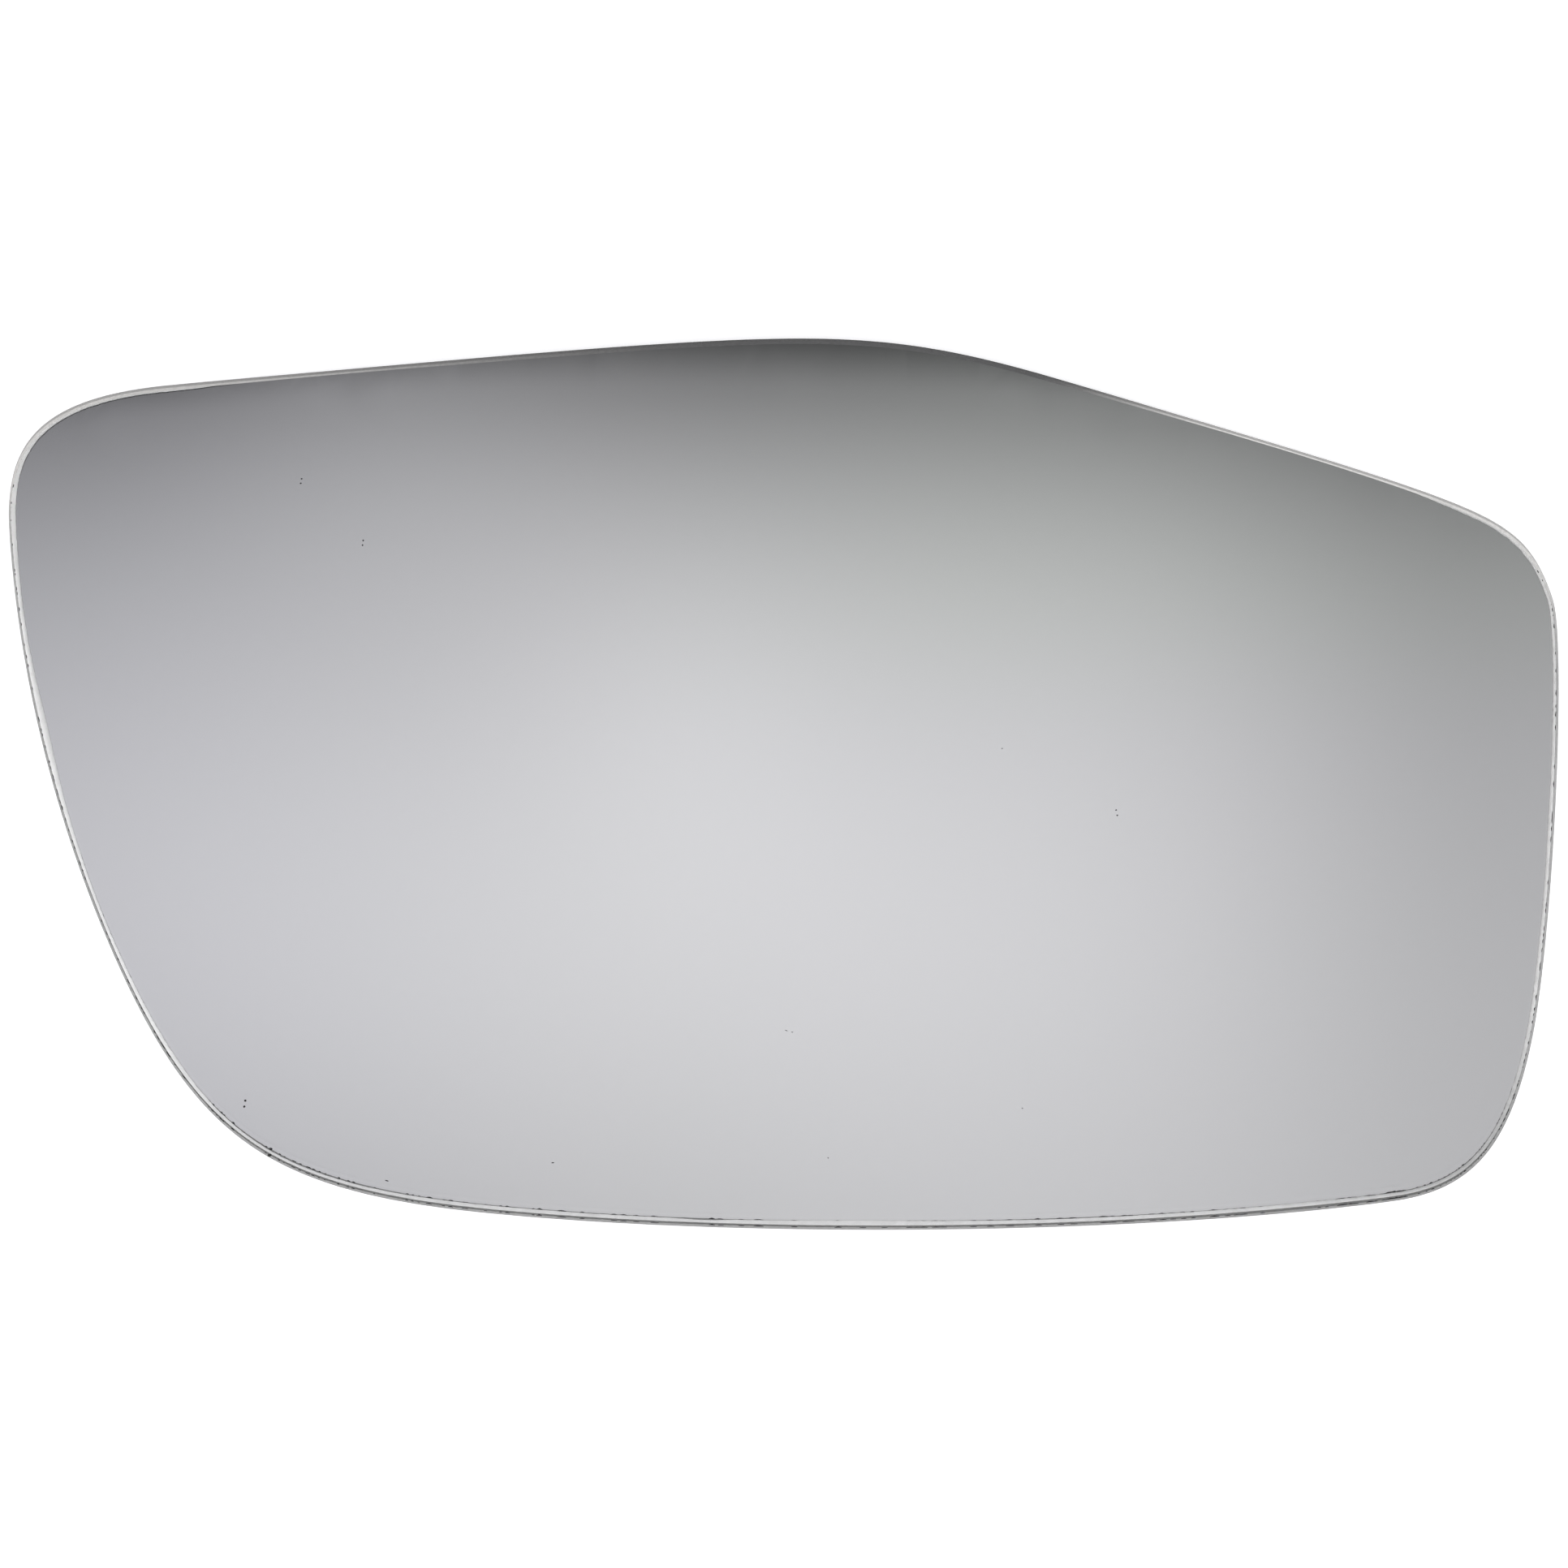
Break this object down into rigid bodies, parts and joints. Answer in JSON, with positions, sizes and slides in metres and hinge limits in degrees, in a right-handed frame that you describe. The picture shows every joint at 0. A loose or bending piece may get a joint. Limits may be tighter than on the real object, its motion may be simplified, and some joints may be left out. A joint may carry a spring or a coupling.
{
  "type": "car door mirror glass",
  "caption": "Bare door mirror glass: gently bowed pane with a soft five-cornered outline, ground edge and silvered back, bonded into a door mirror housing to give the view behind.",
  "frame": {"origin": "middle of the pane's box, on the surface that it lies on, which its rim touches at three corners", "axes": "+X along the pane to the right and +Y up it, seen from the front; +Z out of the reflecting front"},
  "size_m": [0.1799, 0.1066, 0.0043],
  "materials": {
    "silvered_glass": "clear float glass with a silver film and dark grey paint on its back, edges ground to a satin flat"
  },
  "bodies": {
    "root": {"mirror_glass": "silvered_glass"}
  },
  "joints": []
}
